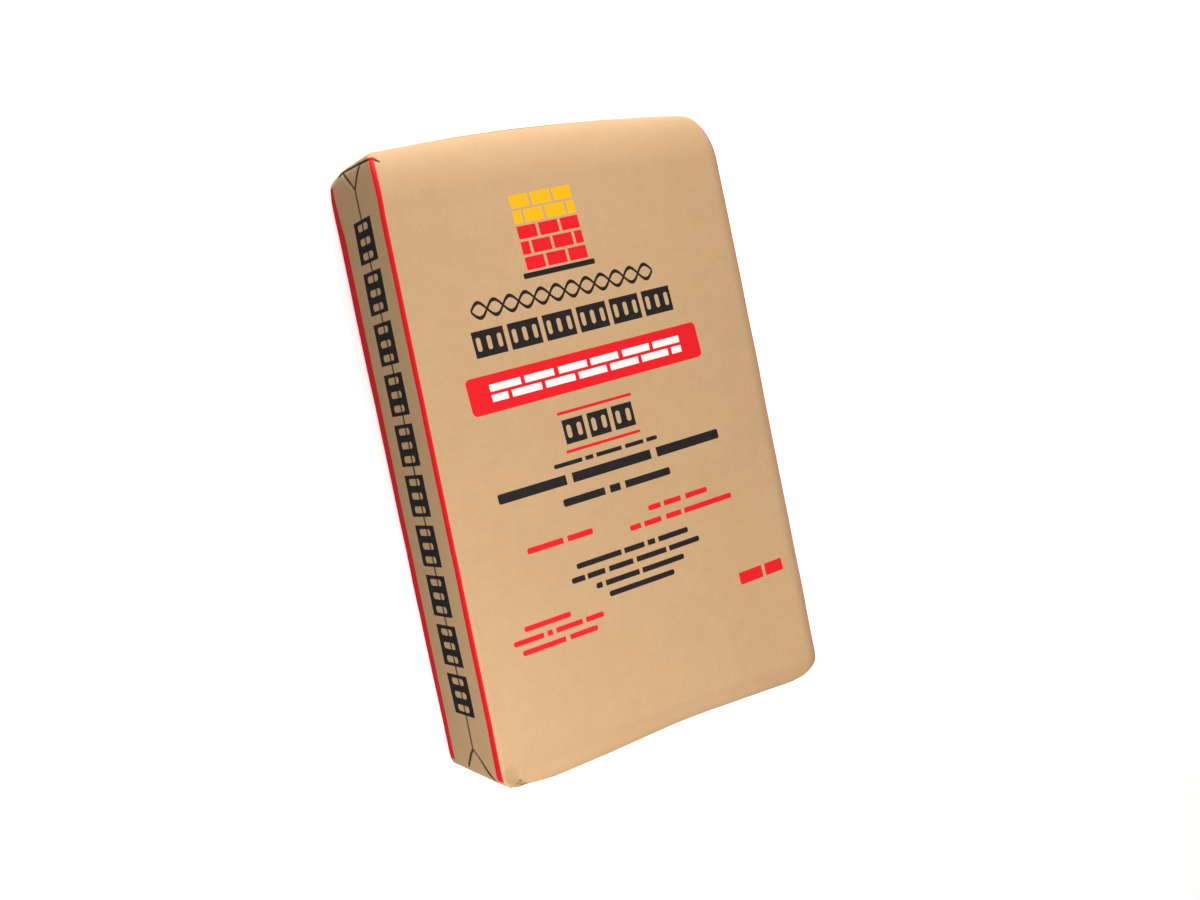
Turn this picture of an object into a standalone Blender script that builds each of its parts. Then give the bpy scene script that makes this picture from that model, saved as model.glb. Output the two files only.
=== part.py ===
"""A filled 50 kg valve sack of cement, lying on its back, in metres with +Z up.

X runs across the sack, Y runs from its bottom end to its top end, and Z is its thickness.
The printed face looks up, and the underside rests on the plane Z = 0.
"""

import math

import bmesh
import bpy
from mathutils import Vector

# Driving dimensions of the filled sack
SACK_WIDTH = 0.396
SACK_LENGTH = 0.620
SACK_THICKNESS = 0.136
FACE_CROWN = 0.0077
SIDE_SWELL = 0.003

# Radii of the long edges: left is -X, and front is the printed face
FRONT_LEFT_RADIUS = 0.005
FRONT_RIGHT_RADIUS = 0.020
BACK_LEFT_RADIUS = 0.006
BACK_RIGHT_RADIUS = 0.012

# The two ends: how long the turn into the end is, how far its middle stands out, and how far
# each face has come in where the end begins. The front comes in by another amount at its corners.
TOP_END = {
    "turn": 0.049,
    "swell": 0.0129,
    "left": 0.0096,
    "right": 0.0279,
    "front": 0.0161,
    "front_left": 0.0173,
    "front_right": 0.0098,
    "back": 0.020,
    "back_left": 0.0056,
}
BOTTOM_END = {
    "turn": 0.0254,
    "swell": 0.003,
    "left": 0.0119,
    "right": 0.0346,
    "front": 0.0321,
    "front_left": 0.006,
    "front_right": 0.0285,
    "back": 0.020,
    "back_left": 0.0048,
}
CORNER_POWER = 4
END_FLATNESS = 0.6

# The gusset crease that runs down the middle of each narrow side
GUSSET_DEPTH = 0.003
GUSSET_STOP = 0.034

# Paper, and the gap left between pieces that touch
PAPER_WALL = 0.0006
PATCH_PAPER = 0.0004
GAP = 0.0003

# The filling valve, at the top corner of the right-hand side
SLEEVE_WIDTH = 0.090
SLEEVE_DEPTH = 0.0034
SLEEVE_LENGTH = 0.110
SLEEVE_PAPER = 0.0006
SLEEVE_FROM_END = 0.016
SLEEVE_INSET = 0.002

# How far a cutter runs past what it cuts
CUTTER_REACH = 0.020

# Mesh divisions, and the angle above which an edge stays sharp
ARC_STEP = math.tan(math.radians(22.5))
FACE_PARTS = 6
SIDE_PARTS = 4
LENGTH_PARTS = 6
TURN_PARTS = 4
LEAST_STEP = 0.0015
SHARP_ANGLE = math.radians(40)

HALF_WIDTH = SACK_WIDTH / 2
HALF_LENGTH = SACK_LENGTH / 2
HALF_THICKNESS = SACK_THICKNESS / 2
MID_HEIGHT = HALF_THICKNESS
TINY = 1e-6

# The fuller top end moves the middle of the outline, where the origin is
OUTLINE_SHIFT = (TOP_END["swell"] - BOTTOM_END["swell"]) / 2

PARTS_NAME = "cement_sack"
CUTTERS_NAME = "cutters"
END_MARK = "end"


def clear_scene():
    """Remove every object, so that the file can be run again."""
    for old in list(bpy.data.objects):
        bpy.data.objects.remove(old, do_unlink=True)


def make_collection(name):
    """Return an empty collection, linked to the scene."""
    collection = bpy.data.collections.new(name)
    bpy.context.scene.collection.children.link(collection)
    return collection


def linear(channel):
    """Turn one sRGB channel, 0 to 255, into a linear value."""
    value = channel / 255
    if value <= 0.04045:
        return value / 12.92
    return ((value + 0.055) / 1.055) ** 2.4


def make_material(name, colour, roughness):
    """Return a plain material from a hex colour such as D0AA7E."""
    material = bpy.data.materials.new(name)
    material.use_nodes = True
    shader = material.node_tree.nodes["Principled BSDF"]
    channels = [linear(int(colour[i:i + 2], 16)) for i in (0, 2, 4)]
    shader.inputs["Base Color"].default_value = (*channels, 1)
    shader.inputs["Roughness"].default_value = roughness
    shader.inputs["Metallic"].default_value = 0
    return material


def add_object(name, bm, collection, material=None):
    """Make an object of a finished bmesh."""
    bmesh.ops.recalc_face_normals(bm, faces=bm.faces)
    mesh = bpy.data.meshes.new(name)
    bm.to_mesh(mesh)
    bm.free()
    piece = bpy.data.objects.new(name, mesh)
    collection.objects.link(piece)
    if material:
        mesh.materials.append(material)
    mesh.shade_smooth()
    mesh.set_sharp_from_angle(angle=SHARP_ANGLE)
    return piece


def stations(low, high, low_radii, high_radii, parts):
    """Return the cuts across a face: even parts between the arcs, and each arc's start and middle."""
    start = low + max(low_radii)
    end = high - max(high_radii)
    places = [start + (end - start) * i / parts for i in range(parts + 1)]
    places += [low + radius for radius in low_radii]
    places += [low + radius * (1 - ARC_STEP) for radius in low_radii]
    places += [high - radius for radius in high_radii]
    places += [high - radius * (1 - ARC_STEP) for radius in high_radii]
    kept = []
    for place in sorted(places):
        if not kept or place - kept[-1] > LEAST_STEP:
            kept.append(place)
    return kept


def length_stations():
    """Return the cuts along the sack: even parts, then the turn into each end."""
    low = BOTTOM_END["turn"] - HALF_LENGTH
    high = HALF_LENGTH - TOP_END["turn"]
    places = [low + (high - low) * i / LENGTH_PARTS for i in range(LENGTH_PARTS + 1)]
    for i in range(1, TURN_PARTS):
        places.append(low - BOTTOM_END["turn"] * i / TURN_PARTS)
        places.append(high + TOP_END["turn"] * i / TURN_PARTS)
    return sorted(places)


def edge_radius(x, z):
    """Return the radius of the long edge in a point's quarter of the section."""
    if z > 0:
        return FRONT_LEFT_RADIUS if x < 0 else FRONT_RIGHT_RADIUS
    return BACK_LEFT_RADIUS if x < 0 else BACK_RIGHT_RADIUS


def round_section(x, z):
    """Move a point of the square-edged section onto the section with rounded long edges."""
    radius = edge_radius(x, z)
    core_x = max(-HALF_WIDTH + radius, min(HALF_WIDTH - radius, x))
    core_z = max(-HALF_THICKNESS + radius, min(HALF_THICKNESS - radius, z))
    reach = Vector((x - core_x, z - core_z))
    if abs(reach.x) < TINY or abs(reach.y) < TINY:
        return x, z
    reach = reach.normalized() * radius
    return core_x + reach.x, core_z + reach.y


def gusset_depth(y, height):
    """Return how far a side is drawn in: all along its middle, and not at all near the ends."""
    along = min(1, max(0, (HALF_LENGTH - GUSSET_STOP - abs(y)) / GUSSET_STOP))
    return GUSSET_DEPTH * along * max(0, 1 - 2 * abs(height))


def face_turn(end, x, z):
    """Return how far the front or the back comes in at an end, at this place across the sack."""
    side = "left" if x < 0 else "right"
    corner = (abs(x) / HALF_WIDTH) ** CORNER_POWER
    if z > 0:
        return end["front"] + (end["front_" + side] - end["front"]) * corner
    return end["back"] + (end["back_left"] - end["back"]) * corner if x < 0 else end["back"]


def sack_point(x, y, z):
    """Map a point of the plain block onto the filled sack's skin."""
    ring = max(abs(x) / HALF_WIDTH, abs(z) / HALF_THICKNESS)
    section = round_section(x / ring, z / ring) if ring > TINY else (0, 0)
    section = section[0] * ring, section[1] * ring
    end = TOP_END if y > 0 else BOTTOM_END
    straight = HALF_LENGTH - end["turn"]
    turn = max(0, abs(y) - straight) / end["turn"]
    angle = turn * math.pi / 2
    drop = 1 - math.cos(angle)
    side_turn = end["left"] if section[0] < 0 else end["right"]
    across = section[0] * (1 - side_turn / HALF_WIDTH * drop)
    up = section[1] * (1 - face_turn(end, x, section[1]) / HALF_THICKNESS * drop)
    along = straight + end["turn"] * math.sin(angle) if turn > 0 else abs(y)
    bow = (1 - (across / HALF_WIDTH) ** 2) * (1 - END_FLATNESS * (up / HALF_THICKNESS) ** 2)
    along += end["swell"] * turn * bow
    u = section[0] / HALF_WIDTH
    v = min(1, abs(y) / HALF_LENGTH)
    w = section[1] / HALF_THICKNESS
    up += FACE_CROWN * (1 - u ** 2) * (1 - v ** 2) * max(0, up / HALF_THICKNESS)
    if abs(x) > HALF_WIDTH - TINY:
        swell = SIDE_SWELL * (1 - v ** 2) * (1 - w ** 2)
        across += math.copysign(swell - gusset_depth(y, w), x)
    return Vector((across, math.copysign(along, y) - OUTLINE_SHIFT, MID_HEIGHT + up))


def sack_skin():
    """Return the sack's closed outer skin: a block, cut across, marked at its ends and rounded."""
    bm = bmesh.new()
    bmesh.ops.create_cube(bm, size=1)
    bmesh.ops.scale(bm, vec=(SACK_WIDTH, SACK_LENGTH, SACK_THICKNESS), verts=bm.verts)
    left = (FRONT_LEFT_RADIUS, BACK_LEFT_RADIUS)
    right = (FRONT_RIGHT_RADIUS, BACK_RIGHT_RADIUS)
    back = (BACK_LEFT_RADIUS, BACK_RIGHT_RADIUS)
    front = (FRONT_LEFT_RADIUS, FRONT_RIGHT_RADIUS)
    cuts = (
        (Vector((1, 0, 0)), stations(-HALF_WIDTH, HALF_WIDTH, left, right, FACE_PARTS)),
        (Vector((0, 1, 0)), length_stations()),
        (Vector((0, 0, 1)), stations(-HALF_THICKNESS, HALF_THICKNESS, back, front, SIDE_PARTS)),
    )
    for axis, places in cuts:
        for place in places:
            geometry = list(bm.verts) + list(bm.edges) + list(bm.faces)
            bmesh.ops.bisect_plane(bm, geom=geometry, dist=TINY, plane_co=axis * place, plane_no=axis)
    end_mark = bm.faces.layers.int.new(END_MARK)
    for face in bm.faces:
        if all(abs(vert.co.y) > HALF_LENGTH - TINY for vert in face.verts):
            face[end_mark] = 1 if face.verts[0].co.y > 0 else -1
    for vert in bm.verts:
        vert.co = sack_point(*vert.co)
    bmesh.ops.recalc_face_normals(bm, faces=bm.faces)
    bm.normal_update()
    return bm


def offset_skin(bm, distance):
    """Move a skin outward by an even distance, or inward by a negative one."""
    moves = [(vert, vert.normal * vert.calc_shell_factor() * distance) for vert in bm.verts]
    for vert, move in moves:
        vert.co += move
    bm.normal_update()


def add_solidify(piece, thickness, offset):
    """Give a skin its paper thickness, inward for -1 and outward for 1."""
    solidify = piece.modifiers.new("paper", "SOLIDIFY")
    solidify.thickness = thickness
    solidify.offset = offset
    solidify.use_even_offset = True


def add_cut(piece, cutter):
    """Cut a piece with a cutter."""
    boolean = piece.modifiers.new("cut", "BOOLEAN")
    boolean.operation = "DIFFERENCE"
    boolean.solver = "EXACT"
    boolean.object = cutter


def box(name, low, high, collection, material=None):
    """Return a plain box between two corners."""
    bm = bmesh.new()
    bmesh.ops.create_cube(bm, size=1)
    size = [b - a for a, b in zip(low, high)]
    bmesh.ops.scale(bm, vec=size, verts=bm.verts)
    piece = add_object(name, bm, collection, material)
    piece.location = [(a + b) / 2 for a, b in zip(low, high)]
    return piece


def sleeve_box(name, margin, inward, outward, collection, material=None):
    """Return a box on the sleeve's axis, grown sideways by a margin, and past its two ends."""
    middle_y = HALF_LENGTH - SLEEVE_FROM_END - OUTLINE_SHIFT
    outer_x = HALF_WIDTH - SLEEVE_INSET
    low = (
        outer_x - SLEEVE_LENGTH - inward,
        middle_y - SLEEVE_DEPTH / 2 - margin,
        MID_HEIGHT - SLEEVE_WIDTH / 2 - margin,
    )
    high = (
        outer_x + outward,
        middle_y + SLEEVE_DEPTH / 2 + margin,
        MID_HEIGHT + SLEEVE_WIDTH / 2 + margin,
    )
    return box(name, low, high, collection, material)


def make_cutter(cutter):
    """Mark an object as a cutter."""
    cutter.hide_render = True
    cutter.display_type = "WIRE"
    return cutter


def add_paper_sack(parts, cutter):
    """Add the sack: gusseted kraft paper with a slot at one top corner for the valve."""
    paper = make_material("kraft_paper", "D0AA7E", 0.72)
    sack = add_object("paper_sack", sack_skin(), parts, paper)
    add_solidify(sack, PAPER_WALL, -1)
    add_cut(sack, cutter)


def add_cement_fill(parts, cutter):
    """Add the cement, which fills the sack up to a small gap and leaves room for the sleeve."""
    powder = make_material("cement_powder", "9C9A94", 0.95)
    skin = sack_skin()
    offset_skin(skin, -(PAPER_WALL + GAP))
    fill = add_object("cement_fill", skin, parts, powder)
    add_cut(fill, cutter)


def add_end_patch(name, side, parts, paper):
    """Add the cover sheet that is pasted over one folded end."""
    skin = sack_skin()
    offset_skin(skin, GAP)
    end_mark = skin.faces.layers.int[END_MARK]
    away = [face for face in skin.faces if face[end_mark] != side]
    bmesh.ops.delete(skin, geom=away, context="FACES")
    patch = add_object(name, skin, parts, paper)
    add_solidify(patch, PATCH_PAPER, 1)


def add_valve_sleeve(parts, cutters):
    """Add the flattened paper tube through which the sack was filled."""
    paper = make_material("sleeve_paper", "C39C70", 0.75)
    sleeve = sleeve_box("valve_sleeve", 0, 0, 0, parts, paper)
    bore = sleeve_box("sleeve_bore", -SLEEVE_PAPER, CUTTER_REACH, CUTTER_REACH, cutters)
    add_cut(sleeve, make_cutter(bore))


def build():
    """Build the sack with its contents, its cover sheets and its valve."""
    clear_scene()
    parts = make_collection(PARTS_NAME)
    cutters = make_collection(CUTTERS_NAME)
    slot = make_cutter(sleeve_box("valve_slot", GAP, GAP, CUTTER_REACH, cutters))
    add_paper_sack(parts, slot)
    add_cement_fill(parts, slot)
    add_valve_sleeve(parts, cutters)
    patch_paper = make_material("patch_paper", "CBA476", 0.74)
    add_end_patch("top_end_patch", 1, parts, patch_paper)
    add_end_patch("bottom_end_patch", -1, parts, patch_paper)


build()
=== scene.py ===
import math

import bmesh
import bpy
import numpy as np
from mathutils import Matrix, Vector, noise


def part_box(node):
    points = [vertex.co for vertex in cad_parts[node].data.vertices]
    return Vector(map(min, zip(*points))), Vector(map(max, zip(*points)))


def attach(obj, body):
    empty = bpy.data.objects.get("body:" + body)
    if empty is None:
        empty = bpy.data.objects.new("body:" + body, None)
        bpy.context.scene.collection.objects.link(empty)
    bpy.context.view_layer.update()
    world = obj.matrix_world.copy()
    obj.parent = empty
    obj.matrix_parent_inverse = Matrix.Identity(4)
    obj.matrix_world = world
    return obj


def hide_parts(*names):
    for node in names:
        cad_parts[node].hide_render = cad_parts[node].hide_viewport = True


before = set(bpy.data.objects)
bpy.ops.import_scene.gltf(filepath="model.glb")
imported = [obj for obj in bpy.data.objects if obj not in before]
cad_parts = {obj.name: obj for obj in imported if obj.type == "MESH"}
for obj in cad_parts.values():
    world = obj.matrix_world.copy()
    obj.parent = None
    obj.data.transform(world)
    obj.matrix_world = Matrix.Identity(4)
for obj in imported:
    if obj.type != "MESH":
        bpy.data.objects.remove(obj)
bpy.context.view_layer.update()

bl_info = {
    "name": "Cement Sack Looks",
    "version": (1, 0, 0),
    "blender": (4, 5, 0),
    "location": "3D View > Sidebar > Cement Sack",
    "description": "Makes the printed kraft paper sack, its pasted ends and its valve around the packed frame",
    "category": "Object",
}

# The block that the filled sack is rounded from, and where its middle lies in the frame
HALF_WIDTH = 0.198
HALF_LENGTH = 0.310
THICKNESS = 0.136
HALF_THICKNESS = THICKNESS / 2
OUTLINE_SHIFT = 0.00495

# The left side stays straight nearly to its ends: the power of how late it turns in
LATE_TURN = 2.5

PATCH_BOXES = {"top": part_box("top_end_patch"), "bottom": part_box("bottom_end_patch")}
SLEEVE_LOW, SLEEVE_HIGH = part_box("valve_sleeve")

# Where the gusset crease forks near each end, as height along the sack and height above the floor
TOP_FORK = (0.2848, 0.0794)
TOP_ARMS = ((0.3088, 0.0407), (0.3054, 0.1076))
BOTTOM_FORK = (-0.2782, 0.0756)
BOTTOM_ARMS = ((-0.3001, 0.0528), (-0.3055, 0.1146))
CREASE_LIFT = 0.0060
CREASE_STEPS = 6

# The edge of the folded top end, where it laps over the side and curls onto the front.
# Each point is a distance round the sack from the middle of the front, and a height along it.
LAP_EDGE = (
    (-0.3020, 0.3067),
    (-0.2900, 0.3084),
    (-0.2715, 0.3076),
    (-0.2486, 0.3066),
    (-0.2262, 0.3055),
    (-0.2021, 0.3041),
    (-0.1935, 0.3028),
    (-0.1886, 0.3000),
)

# The two stripes of a side, as places along the paper and the two edges there, round the sack. Near the
# ends they drift, so that they run on straight where the corners turn in.
FRONT_STRIPE = (
    (-0.2980, -0.2120, -0.1998),
    (-0.2460, -0.2081, -0.1979),
    (-0.0790, -0.2060, -0.1970),
    (0.1940, -0.2043, -0.1957),
    (0.2480, -0.2040, -0.1954),
    (0.2945, -0.2006, -0.1933),
)
BACK_STRIPE = (
    (-0.2945, -0.3380, -0.3170),
    (-0.2400, -0.3380, -0.3147),
    (-0.1300, -0.3380, -0.3116),
    (0.1400, -0.3380, -0.3088),
    (0.1920, -0.3380, -0.3090),
    (0.2460, -0.3380, -0.3105),
    (0.2900, -0.3380, -0.3200),
)

# The tuck at the bottom corner of the front: its middle, its half axes and its pinhole
TUCK_MIDDLE = (-0.1884, -0.2989)
TUCK_HALF = (0.0100, 0.0070)
TUCK_PIN = (-0.1800, -0.3059)

# The bulge of the bottom end beside its left corner: its middle and its reach to either side
HEEL_MIDDLE = -0.125
HEEL_LEFT = 0.078
HEEL_RIGHT = 0.190

# The nick low on the top end's left corner: its height along the sack and above the floor, and its reach
NICK_MIDDLE = (0.3090, 0.0100)
NICK_REACH = (0.0045, 0.0080)

# The longitudinal glue seam down the back
SEAM_LOW = 0.030
SEAM_HIGH = 0.062


def linear(channel):
    """Turn one sRGB channel, 0 to 1, into a linear value."""
    if channel <= 0.04045:
        return channel / 12.92
    return ((channel + 0.055) / 1.055) ** 2.4


def colour(code):
    """Turn a hex colour such as D0AA7E into a linear colour with alpha."""
    return tuple(linear(int(code[i:i + 2], 16) / 255) for i in (0, 2, 4)) + (1.0,)


def length(title, text, default):
    """A length property in metres."""
    return bpy.props.FloatProperty(name=title, description=text, default=default, unit="LENGTH", precision=4)


def tint(title, text, code):
    """A colour property from a hex colour."""
    return bpy.props.FloatVectorProperty(
        name=title, description=text, default=colour(code), size=4, min=0, max=1, subtype="COLOR"
    )


def number(title, text, default):
    """A plain number property."""
    return bpy.props.FloatProperty(name=title, description=text, default=default)


class SackEnd(bpy.types.PropertyGroup):
    """How one end of the sack turns in from the faces."""

    turn: length("Turn", "Length over which the faces turn into the end", 0.036)
    swell: length("Swell", "How far the middle of the end stands out", 0.007)
    left: length("Left turn", "How far the left side comes in at the end", 0.010)
    right: length("Right turn", "How far the right side comes in at the end", 0.030)
    front: length("Front turn", "How far the front comes down at the middle of the end", 0.026)
    front_left: length("Front left turn", "How far the front comes down at the left corner", 0.010)
    front_right: length("Front right turn", "How far the front comes down at the right corner", 0.020)
    back: length("Back turn", "How far the back comes up at the end", 0.020)
    back_left: length("Back left turn", "How far the back comes up at the left corner", 0.006)


class SackShape(bpy.types.PropertyGroup):
    """The sizes of the filled sack."""

    edge_front_left: length("Front left edge", "Radius of the long edge beside the stripe", 0.005)
    edge_front_right: length("Front right edge", "Radius of the long edge on the right", 0.0205)
    edge_back_left: length("Back left edge", "Radius of the lower long edge on the left", 0.006)
    edge_back_right: length("Back right edge", "Radius of the lower long edge on the right", 0.012)
    crown: length("Crown", "How far the middle of the front stands up", 0.0077)
    side_swell: length("Side swell", "How far the sides stand out", 0.0030)
    left_pull: length("Left pull", "How far the creased left side is drawn in", 0.0022)
    heel: length("Heel", "How far the bottom end bulges beside its left corner", 0.0105)
    clip: length("Clip", "How far the lower left corner of the bottom end is drawn in", 0.0060)
    nick: length("Nick", "How far the lower left corner of the top end is drawn in", 0.0036)
    crease: length("Crease", "Depth of a sharp fold line", 0.0007)
    lap: length("Lap", "Height of the folded end's edge over the side", 0.0010)
    tuck: length("Tuck", "Depth of the tucked bottom corner", 0.0008)
    unrest: length("Unrest", "Height of the slow waves in the filled paper", 0.0005)
    fill_gap: length("Fill gap", "How far the cement is drawn in from the paper", 0.0040)
    top: bpy.props.PointerProperty(name="Top end", description="Top end", type=SackEnd)
    bottom: bpy.props.PointerProperty(name="Bottom end", description="Bottom end", type=SackEnd)


class SackPrint(bpy.types.PropertyGroup):
    """The colours of the paper and of its inks."""

    paper: tint("Kraft paper", "Natural unbleached kraft paper", "CAA47A")
    patch: tint("Patch paper", "Kraft paper of the pasted sheets", "C49F74")
    red: tint("Red ink", "Stripes, banner, rules and small rows", "EC1C24")
    black: tint("Black ink", "Large bricks and rows", "231F20")
    yellow: tint("Yellow ink", "Second colour of the emblem", "FDB913")
    white: tint("White ink", "Blocks on the banner", "FAF7F2")
    turn: bpy.props.FloatProperty(
        name="Print turn", description="How far the print is turned on the front", default=math.radians(3.0),
        subtype="ANGLE",
    )


class StageLook(bpy.types.PropertyGroup):
    """The floor and the light."""

    floor: tint("Floor", "Plain pale floor", "F7F6F4")
    glow: number("Floor glow", "Light that comes up through the pale floor, as on a light table", 0.30)
    key: number("Key light", "Power at the top end, in watts", 57)
    corner: number("Corner light", "Power beside the lower left corner, in watts", 6)
    over: number("Overhead light", "Power from above the bottom end, in watts", 22)
    right: number("Right light", "Power from low on the right, in watts", 3)
    sky: number("Surrounding light", "Strength of the even light", 0.16)


def set_ends(shape):
    """Give the two ends the roundings that differ between them."""
    top = shape.top
    top.turn, top.swell, top.left, top.right = 0.0490, 0.0129, 0.0096, 0.0279
    top.front, top.front_left, top.front_right = 0.0161, 0.0173, 0.0098
    top.back, top.back_left = 0.0200, 0.0056
    low = shape.bottom
    low.turn, low.swell, low.left, low.right = 0.0254, 0.0010, 0.0119, 0.0346
    low.front, low.front_left, low.front_right = 0.0321, -0.0018, 0.0285
    low.back, low.back_left = 0.0200, 0.0048


def smooth(values):
    """Ease from 0 to 1 between 0 and 1."""
    t = np.clip(values, 0, 1)
    return t * t * (3 - 2 * t)


def cuts(spans):
    """Places along an axis, from spans of (start, end, step)."""
    places = [spans[0][0]]
    for start, end, step in spans:
        count = max(1, round((end - start) / step))
        places.extend(start + (end - start) * (i + 1) / count for i in range(count))
    return np.array(places)


def fine_lattice():
    """Places across, along and up the block: close together where folds and edges are."""
    across = cuts((
        (-HALF_WIDTH, -0.186, 0.0012),
        (-0.186, -0.160, 0.0018),
        (-0.160, SEAM_LOW - 0.001, 0.008),
        (SEAM_LOW - 0.001, SEAM_LOW + 0.001, 0.001),
        (SEAM_LOW + 0.001, SEAM_HIGH - 0.001, 0.008),
        (SEAM_HIGH - 0.001, SEAM_HIGH + 0.001, 0.001),
        (SEAM_HIGH + 0.001, 0.160, 0.008),
        (0.160, HALF_WIDTH, 0.0024),
    ))
    along = cuts((
        (-HALF_LENGTH, -0.268, 0.0014),
        (-0.268, -0.246, 0.004),
        (-0.246, 0.240, 0.0075),
        (0.240, 0.262, 0.004),
        (0.262, 0.290, 0.0014),
        (0.290, 0.303, 0.0009),
        (0.303, HALF_LENGTH, 0.0014),
    ))
    up = cuts((
        (0, 0.008, 0.0013),
        (0.008, 0.060, 0.002),
        (0.060, 0.082, 0.001),
        (0.082, 0.128, 0.002),
        (0.128, THICKNESS, 0.0013),
    ))
    return across, along, up


def coarse_lattice():
    """Places for the cement inside the paper, whose edges are soft."""
    edge = 0.024
    across = cuts(((-HALF_WIDTH, -HALF_WIDTH + edge, 0.004), (-HALF_WIDTH + edge, HALF_WIDTH - edge, 0.02),
                   (HALF_WIDTH - edge, HALF_WIDTH, 0.004)))
    along = cuts(((-HALF_LENGTH, -0.26, 0.005), (-0.26, 0.25, 0.02), (0.25, HALF_LENGTH, 0.005)))
    up = cuts(((0, edge, 0.004), (edge, THICKNESS - edge, 0.01), (THICKNESS - edge, THICKNESS, 0.004)))
    return across, along, up


def round_edges(shape, x, z):
    """Round the four long edges of the square section."""
    left_front = np.where(x < 0, shape.edge_front_left, shape.edge_front_right)
    left_back = np.where(x < 0, shape.edge_back_left, shape.edge_back_right)
    radius = np.where(z > 0, left_front, left_back)
    core_x = np.clip(x, -HALF_WIDTH + radius, HALF_WIDTH - radius)
    core_z = np.clip(z, -HALF_THICKNESS + radius, HALF_THICKNESS - radius)
    off_x, off_z = x - core_x, z - core_z
    far = np.hypot(off_x, off_z)
    corner = (np.abs(off_x) > 1e-9) & (np.abs(off_z) > 1e-9)
    scale = np.where(corner, radius / np.maximum(far, 1e-9), 1)
    return core_x + off_x * scale, core_z + off_z * scale


def end_values(shape, is_top, name):
    """One rounding of whichever end each point is nearer to."""
    return np.where(is_top, getattr(shape.top, name), getattr(shape.bottom, name))


def turned_height(shape, y):
    """Height along the sack after its faces have turned into the ends."""
    turn_length = end_values(shape, y > 0, "turn")
    straight = HALF_LENGTH - turn_length
    turn = np.clip((np.abs(y) - straight) / turn_length, 0, 1)
    height = np.where(turn > 0, straight + turn_length * np.sin(turn * math.pi / 2), np.abs(y))
    return np.sign(y) * height, turn


def block_height(shape, height):
    """The place on the plain block that ends up at this height along the sack."""
    end = shape.top if height > 0 else shape.bottom
    straight = HALF_LENGTH - end.turn
    if abs(height) <= straight:
        return height
    turn = math.asin(min(1, (abs(height) - straight) / end.turn)) * 2 / math.pi
    return math.copysign(straight + end.turn * turn, height)


def heel_relief(shape, x, z):
    """How far the bottom end stands out beside its left corner, and is drawn in at that corner's foot."""
    off = (x - HEEL_MIDDLE) / np.where(x < HEEL_MIDDLE, HEEL_LEFT, HEEL_RIGHT)
    bulge = np.cos(np.clip(off, -1, 1) * math.pi / 2) ** 2
    foot = smooth((HEEL_MIDDLE - x) / HEEL_LEFT) * (1 - z / THICKNESS)
    return shape.heel * bulge - shape.clip * foot


def nick_relief(shape, x, height, z):
    """How far the top end's lower left corner is drawn in."""
    off = ((height - NICK_MIDDLE[0]) / NICK_REACH[0]) ** 2 + ((z - NICK_MIDDLE[1]) / NICK_REACH[1]) ** 2
    return shape.nick * np.exp(-off) * smooth((-0.165 - x) / 0.03)


def filled_points(shape, block):
    """Where each point of the plain block lies on the filled sack, and its height along it."""
    x, y, z = block[:, 0], block[:, 1], block[:, 2] - HALF_THICKNESS
    ring = np.maximum(np.maximum(np.abs(x) / HALF_WIDTH, np.abs(z) / HALF_THICKNESS), 1e-9)
    section_x, section_z = round_edges(shape, x / ring, z / ring)
    section_x, section_z = section_x * ring, section_z * ring
    is_top = y > 0
    height, turn = turned_height(shape, y)
    drop = 1 - np.cos(turn * math.pi / 2)
    corner = (np.abs(x) / HALF_WIDTH) ** 4
    left, right = (end_values(shape, is_top, name) for name in ("left", "right"))
    side_drop = np.where(section_x < 0, left * drop ** LATE_TURN, right * drop)
    front, front_left, front_right = (
        end_values(shape, is_top, name) for name in ("front", "front_left", "front_right")
    )
    back, back_left = (end_values(shape, is_top, name) for name in ("back", "back_left"))
    front_drop = front + (np.where(x < 0, front_left, front_right) - front) * corner
    back_drop = back + np.where(x < 0, back_left - back, 0) * corner
    face_drop = np.where(section_z > 0, front_drop, back_drop)
    px = section_x * (1 - (side_drop + np.where(section_x < 0, shape.left_pull, 0)) / HALF_WIDTH)
    px += nick_relief(shape, x, height, block[:, 2])
    pz = section_z * (1 - face_drop / HALF_THICKNESS * drop)
    swell = end_values(shape, is_top, "swell")
    bow = (1 - (px / HALF_WIDTH) ** 2) * (1 - 0.6 * (pz / HALF_THICKNESS) ** 2)
    py = height + np.sign(y) * swell * turn * bow - OUTLINE_SHIFT
    py -= np.where(is_top, 0, turn * heel_relief(shape, px, pz + HALF_THICKNESS))
    u, v, w = section_x / HALF_WIDTH, np.minimum(1, np.abs(y) / HALF_LENGTH), section_z / HALF_THICKNESS
    crown = shape.crown * (1 - u ** 2) * (1 - v ** 2) * np.clip(pz / HALF_THICKNESS, 0, 1)
    side = np.where(np.abs(u) > 0.6, np.sign(x) * shape.side_swell * (1 - v ** 2) * (1 - w ** 2), 0)
    return np.stack([px + side, py, pz + crown + HALF_THICKNESS], 1), height


def far_from(points, start, end):
    """Distance of each point from a straight fold between two places."""
    start, end = np.array(start), np.array(end)
    way = end - start
    share = np.clip(((points - start) @ way) / (way @ way), 0, 1)
    return np.linalg.norm(points - start - share[:, None] * way, axis=1)


def gusset_folds():
    """The folds of a narrow side: its long crease, which rides up a little on the swell, and its forks' arms."""
    crease = []
    for share in np.linspace(0, 1, CREASE_STEPS + 1):
        along, up = (BOTTOM_FORK[i] + (TOP_FORK[i] - BOTTOM_FORK[i]) * share for i in (0, 1))
        crease.append((float(along), float(up + CREASE_LIFT * 4 * share * (1 - share))))
    folds = list(zip(crease, crease[1:]))
    folds += [(TOP_FORK, arm) for arm in TOP_ARMS]
    folds += [(BOTTOM_FORK, arm) for arm in BOTTOM_ARMS]
    return folds


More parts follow.
